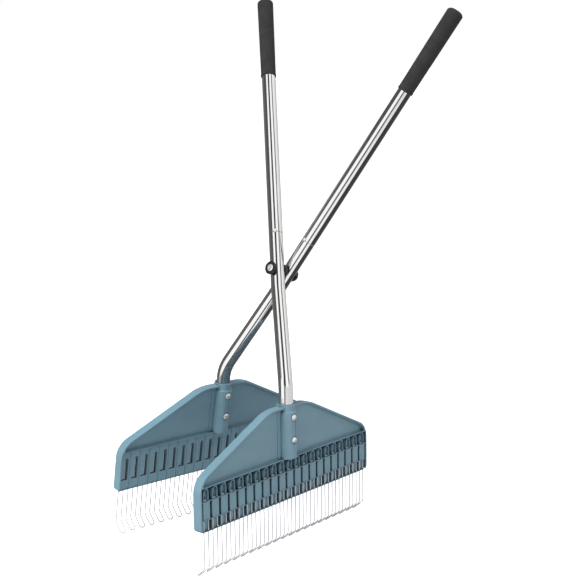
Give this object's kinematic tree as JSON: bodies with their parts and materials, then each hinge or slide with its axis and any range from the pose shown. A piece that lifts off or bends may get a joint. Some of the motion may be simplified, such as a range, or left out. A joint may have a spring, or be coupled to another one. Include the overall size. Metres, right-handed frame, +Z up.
{
  "type": "leaf grabber",
  "caption": "Scissor-handled leaf grabber: crossing steel tubes on a pivot bolt carry wide moulded heads with hooked wire tines that close on leaves.",
  "frame": {"origin": "on the ground under the middle of the standing tool, midway between the two heads, at the level of the tine tips", "axes": "+Z up the tool to its grips; X along the heads' width, the knob on the -X side; Y is the way the jaws open, head A on the -Y side and head B on the +Y side; the hinge axis lies in the X-Z plane and dips 18.5 degrees towards +X"},
  "size_m": [0.4807, 0.4438, 0.9354],
  "materials": {
    "steel": "polished stainless tube, bright and smooth",
    "chrome": "bright plated",
    "wire": "bright plain wire",
    "grip": "matt foam rubber",
    "black_plastic": "satin moulded",
    "head_plastic": "satin moulded, blue-grey"
  },
  "bodies": {
    "arm_a": {"grip_a": "grip", "upper_tube_a": "steel", "lower_tube_a": "steel", "head_a": "head_plastic", "head_screw_a_1": "chrome", "head_screw_a_2": "chrome", "pivot_bolt": "chrome", "pivot_knob": "black_plastic", "pivot_spacer": "black_plastic", "tine_a_01": "wire", "tine_a_02": "wire", "tine_a_03": "wire", "tine_a_04": "wire", "tine_a_05": "wire", "tine_a_06": "wire", "tine_a_07": "wire", "tine_a_08": "wire", "tine_a_09": "wire", "tine_a_10": "wire", "tine_a_11": "wire", "tine_a_12": "wire", "tine_a_13": "wire", "tine_a_14": "wire", "tine_a_15": "wire", "tine_a_16": "wire", "tine_a_17": "wire", "tine_a_18": "wire", "tine_a_19": "wire", "tine_a_20": "wire", "tine_a_21": "wire"},
    "arm_b": {"grip_b": "grip", "upper_tube_b": "steel", "lower_tube_b": "steel", "head_b": "head_plastic", "head_screw_b_1": "chrome", "head_screw_b_2": "chrome", "pivot_cap": "black_plastic", "tine_b_01": "wire", "tine_b_02": "wire", "tine_b_03": "wire", "tine_b_04": "wire", "tine_b_05": "wire", "tine_b_06": "wire", "tine_b_07": "wire", "tine_b_08": "wire", "tine_b_09": "wire", "tine_b_10": "wire", "tine_b_11": "wire", "tine_b_12": "wire", "tine_b_13": "wire", "tine_b_14": "wire", "tine_b_15": "wire", "tine_b_16": "wire", "tine_b_17": "wire", "tine_b_18": "wire", "tine_b_19": "wire", "tine_b_20": "wire", "tine_b_21": "wire"},
    "button_a": {"snap_clip_a": "chrome"},
    "button_b": {"snap_clip_b": "chrome"}
  },
  "joints": [
    {"name": "pivot", "type": "hinge", "parent": "arm_a", "child": "arm_b", "pos_m": [0.06137, 0, 0.46043], "axis": [0.9483, 0, -0.3173], "range_deg": [-25.5, 30]},
    {"name": "button_a_press", "type": "slide", "parent": "arm_a", "child": "button_a", "axis": [0.7298, 0.4974, -0.469], "range_m": [0, 0.004], "stiffness_N_per_m": 1500, "springref_m": -0.002},
    {"name": "button_b_press", "type": "slide", "parent": "arm_b", "child": "button_b", "axis": [0.9483, 0, -0.3173], "range_m": [0, 0.004], "stiffness_N_per_m": 1500, "springref_m": -0.002}
  ]
}
